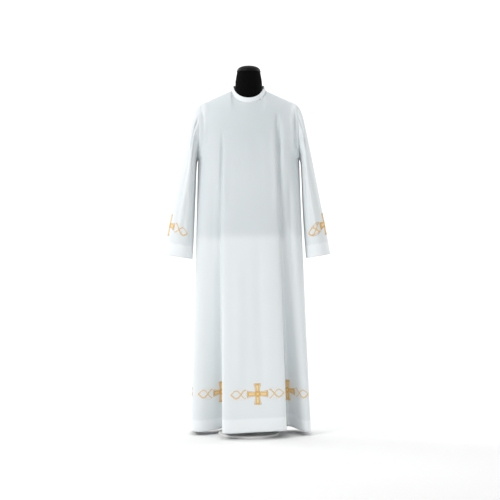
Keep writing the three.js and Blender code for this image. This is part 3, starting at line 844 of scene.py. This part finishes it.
class ALB_OT_stage(AlbOperator, bpy.types.Operator):
    """Adds the floor, the lights and the camera"""

    bl_idname = "alb.stage"
    bl_label = "Stage"

    def build(self, sizes, colours):
        sweep = [(-9.0, 0.0), (3.0, 0.0)]
        sweep += [(3.0 + 1.5 * math.sin(a), 1.5 - 1.5 * math.cos(a)) for a in np.linspace(0.1, 1.5708, 14)]
        sweep += [(4.5, 7.0)]
        points = [(x, y, z) for y, z in sweep for x in (-9.0, 9.0)]
        faces = [(2 * i, 2 * i + 1, 2 * i + 3, 2 * i + 2) for i in range(len(sweep) - 1)]
        floor = new_piece("floor", points, faces)
        floor.data.materials.append(plain_finish("floor_paint", (0.93, 0.93, 0.93), 0.8, 0, 3.0, 0.0002))
        world = bpy.data.worlds.new("studio")
        world.use_nodes = True
        world.node_tree.nodes["Background"].inputs["Color"].default_value = (1, 1, 1, 1)
        world.node_tree.nodes["Background"].inputs["Strength"].default_value = 0.56
        bpy.context.scene.world = world
        for name, place, size, power in (
            ("key", (-2.9, -2.9, 3.0), 1.6, 80.0),
            ("fill", (3.2, -3.8, 2.2), 3.0, 14.0),
            ("top", (0.0, 0.4, 4.2), 2.6, 20.0),
            ("backdrop_left", (-3.0, 1.6, 2.8), 2.5, 60.0),
            ("backdrop_right", (3.0, 1.6, 2.8), 2.5, 60.0),
        ):
            lamp = bpy.data.lights.new(name, "AREA")
            lamp.size, lamp.energy = size, power
            made = bpy.data.objects.new(name, lamp)
            made.location = place
            aim = np.array((0.0, 3.5, 1.2) if "backdrop" in name else (0.0, 0.0, 0.8)) - np.array(place)
            made.rotation_euler = (
                math.atan2(math.hypot(aim[0], aim[1]), -aim[2]), 0.0, math.atan2(-aim[0], aim[1])
            )
            bpy.context.scene.collection.objects.link(made)
        lens = bpy.data.cameras.new("view")
        lens.lens = 36.0 * 5.0 / 2.15
        eye = bpy.data.objects.new("view", lens)
        eye.location = (0.0056, -5.0, 0.791)
        eye.rotation_euler = (math.pi / 2, 0, 0)
        bpy.context.scene.collection.objects.link(eye)
        bpy.context.scene.camera = eye
        bpy.context.scene.view_settings.view_transform = "Standard"


class ALB_OT_form(AlbOperator, bpy.types.Operator):
    """Builds the black dress form: torso with neck, and the domed cap"""

    bl_idname = "alb.form"
    bl_label = "Dress form"

    def build(self, sizes, colours):
        torso = ring_piece("form_torso_cover", lofted_form())
        pieces["form_shape"] = (
            [tuple(v.co) for v in torso.data.vertices], [tuple(p.vertices) for p in torso.data.polygons]
        )
        neck = turned("form_neck_cover", NECK_PROFILE, NECK_Y)
        cap = turned("form_cap_shell", CAP_PROFILE, NECK_Y)
        cover = plain_finish("form_jersey", colours.cover, 0.8, 0, 900.0, 0.0004, 0.06)
        finish_piece(torso, "form_cover", cover, "form_bust")
        finish_piece(neck, "form_cover", cover, "form_bust")
        black = plain_finish("cap_satin", (0.002, 0.002, 0.0025), 0.4, 0, 300.0, 0.0001, 0.16)
        finish_piece(cap, "form_cap", black, "form_cap")


class ALB_OT_stand(AlbOperator, bpy.types.Operator):
    """Builds the pole and the round foot"""

    bl_idname = "alb.stand"
    bl_label = "Stand"

    def build(self, sizes, colours):
        steel = plain_finish("brushed_steel", (0.62, 0.63, 0.64), 0.3, 0.95, 400.0, 0.0001)
        finish_piece(turned("pole_tube", POLE_PROFILE), "steel", steel, "form_pole")
        paint = plain_finish("pale_powder_coat", (0.80, 0.80, 0.79), 0.42, 0.0, 900.0, 0.0001)
        finish_piece(turned("foot_plate", BASE_PROFILE, sides=160), "base_paint", paint, "form_base")


class ALB_OT_body(AlbOperator, bpy.types.Operator):
    """Cuts and drapes the front and the back"""

    bl_idname = "alb.body"
    bl_label = "Front and back"

    def build(self, sizes, colours):
        pieces["cloth"] = alb_cloth(colours)
        for name, lines, half, creases, outward, width in (
            ("front", FRONT_LINES, FRONT, FRONT_CREASES, -1, 1.12),
            ("back", BACK_LINES, BACK, BACK_CREASES, 1, 0.96),
        ):
            cloth = panel_cloth(lines, half, creases, outward)
            pieces[name] = cloth
            made = sheet_mesh(f"{name}_cloth", cloth.grid, False, sizes.wall, cloth_shades(cloth, sizes))
            finish_piece(made, "alb_cloth", pieces["cloth"], name)


class ALB_OT_sleeves(AlbOperator, bpy.types.Operator):
    """Hangs both sleeves from the armholes"""

    bl_idname = "alb.sleeves"
    bl_label = "Sleeves"

    def build(self, sizes, colours):
        for name, rings, outward in (("sleeve_right", RIGHT_RINGS, -1), ("sleeve_left", LEFT_RINGS, 1)):
            cloth = sleeve_cloth(rings, outward)
            pieces[name] = cloth
            made = sheet_mesh(f"{name}_cloth", cloth.grid, True, sizes.wall, cloth_shades(cloth, sizes))
            finish_piece(made, "alb_cloth", pieces["cloth"], name)


COLLAR_HEIGHT = 22.0
COLLAR_RISE = 0.7
COLLAR_START = 15.0
COLLAR_LAP = 30.0
COLLAR_RAMP = 15.0


def collar_grid():
    angle = np.linspace(COLLAR_START, COLLAR_START + 360 + COLLAR_LAP, 220)
    turn = np.mod(angle, 360)
    front = turn <= 180
    share = np.where(front, 1 - turn / 90, (turn - 270) / 90)
    foot = np.where(front[:, None], neckline(FRONT, share), neckline(BACK, share))
    outside = foot[:, :2] - np.array([0, NECK_Y])
    outside /= np.linalg.norm(outside, axis=1, keepdims=True)
    under = ease((COLLAR_START + COLLAR_LAP + COLLAR_RAMP - angle) / COLLAR_RAMP)
    foot[:, :2] -= outside * (under * 2.3)[:, None]
    foot[:, 2] += COLLAR_RISE
    rows = []
    for t in np.linspace(1, 0, 22):
        row = foot.copy()
        lean = outside * np.array([8.0, 4.0]) * t
        bulge = outside * (0.9 * math.sin(t * math.pi))
        row[:, :2] += bulge - lean
        row[:, 2] += COLLAR_HEIGHT * t
        rows.append(row)
    return np.array(rows)


class ALB_OT_collar(AlbOperator, bpy.types.Operator):
    """Sets the stand collar on the neckline"""

    bl_idname = "alb.collar"
    bl_label = "Collar"

    def build(self, sizes, colours):
        cloth = Cloth(collar_grid(), False, 1)
        cloth.above_hem = (cloth.grid[:, :, 2] - cloth.grid[-1:, :, 2])
        ones = np.ones(cloth.grid.shape[:2])
        # A little painted shade from the form behind, the same all round the collar.
        shades = {"painted_form_shade": ones * 0.12, "doubled": ones * 0.8}
        made = sheet_mesh("collar_band", cloth.grid, False, 0.0018, shades)
        finish_piece(made, "alb_cloth", pieces["cloth"], "collar")
        pieces["collar"] = cloth


class ALB_OT_stitching(AlbOperator, bpy.types.Operator):
    """Sews the topstitching of the hem, the cuffs and the collar"""

    bl_idname = "alb.stitching"
    bl_label = "Topstitching"

    def build(self, sizes, colours):
        rows = Threads()
        band = sizes.band / MM
        for name in ("front", "back"):
            border = Border(pieces[name], band - 3.0)
            stitch_row(rows, border, 0.0, 4.0, border.length - 4.0, 4.6, 1.9)
        for name in ("sleeve_right", "sleeve_left"):
            stitch_row(rows, Border(pieces[name], band - 3.0), 0.0, 0.0, None, 4.6, 1.9)
        for height in (3.0, 19.0):
            border = Border(pieces["collar"], height)
            stitch_row(rows, border, 0.0, 4.0, border.length - 4.0, 4.0, 1.6)
        white = stitched("white_thread", (0.86, 0.89, 0.90), (0.72, 0.75, 0.77))
        finish_piece(rows.piece("topstitching"), "alb_cloth", white)


class ALB_OT_hem_embroidery(AlbOperator, bpy.types.Operator):
    """Stitches the border of crosses and interlace round the hem"""

    bl_idname = "alb.hem_embroidery"
    bl_label = "Hem embroidery"

    def build(self, sizes, colours):
        repeat_length = sizes.motif / MM
        borders = []
        for name, middle_x in (("front", 39.0), ("back", 0.0)):
            border = Border(pieces[name], 160.0)
            outermost = np.abs(border.y) > 100
            start = float(border.run[np.argmin(np.abs(border.x - middle_x) + 999 * ~outermost)])
            count = int(border.length // repeat_length) + 2
            middles = start + np.arange(-count, count + 1) * repeat_length
            if name == "front":
                in_fold = (border.x > -140) & (border.x < -95)
                left = float(border.run[np.argmax(np.where(in_fold, border.y, -999))]) - 4.0
                middles = np.array([left, start, start + repeat_length])
            middles = [m for m in middles if 112 < m < border.length - 112]
            borders.append((border, middles, 42.0, 49.0, 64.0, 25.0))
        embroidered("hem_embroidery", borders, sizes, colours)


class ALB_OT_cuff_embroidery(AlbOperator, bpy.types.Operator):
    """Stitches a cross and interlace on the outside of each cuff"""

    bl_idname = "alb.cuff_embroidery"
    bl_label = "Cuff embroidery"

    def build(self, sizes, colours):
        borders = []
        for name in ("sleeve_right", "sleeve_left"):
            border = Border(pieces[name], 112.0)
            borders.append((border, [30.0], 38.0, 44.0, 62.0, 24.0))
        embroidered("cuff_embroidery", borders, sizes, colours)


class ALB_PT_panel(bpy.types.Panel):
    """Lists the steps that build the alb"""

    bl_idname = "ALB_PT_panel"
    bl_label = "Alb on a dress form"
    bl_space_type = "VIEW_3D"
    bl_region_type = "UI"
    bl_category = "Alb"

    def draw(self, context):
        for group in (context.scene.alb_sizes, context.scene.alb_colours):
            for name in group.__annotations__:
                self.layout.prop(group, name)
        for step in STEPS:
            self.layout.operator(step.bl_idname)


STEPS = (
    ALB_OT_stage,
    ALB_OT_form,
    ALB_OT_stand,
    ALB_OT_body,
    ALB_OT_sleeves,
    ALB_OT_collar,
    ALB_OT_stitching,
    ALB_OT_hem_embroidery,
    ALB_OT_cuff_embroidery,
)
CLASSES = (AlbSizes, AlbColours, *STEPS, ALB_PT_panel)


def register():
    for one in CLASSES:
        bpy.utils.register_class(one)
    bpy.types.Scene.alb_sizes = PointerProperty(type=AlbSizes)
    bpy.types.Scene.alb_colours = PointerProperty(type=AlbColours)


def unregister():
    del bpy.types.Scene.alb_colours
    del bpy.types.Scene.alb_sizes
    for one in reversed(CLASSES):
        bpy.utils.unregister_class(one)


def main():
    register()
    for step in STEPS:
        group, action = step.bl_idname.split(".")
        getattr(getattr(bpy.ops, group), action)()


if __name__ == "__main__":
    main()
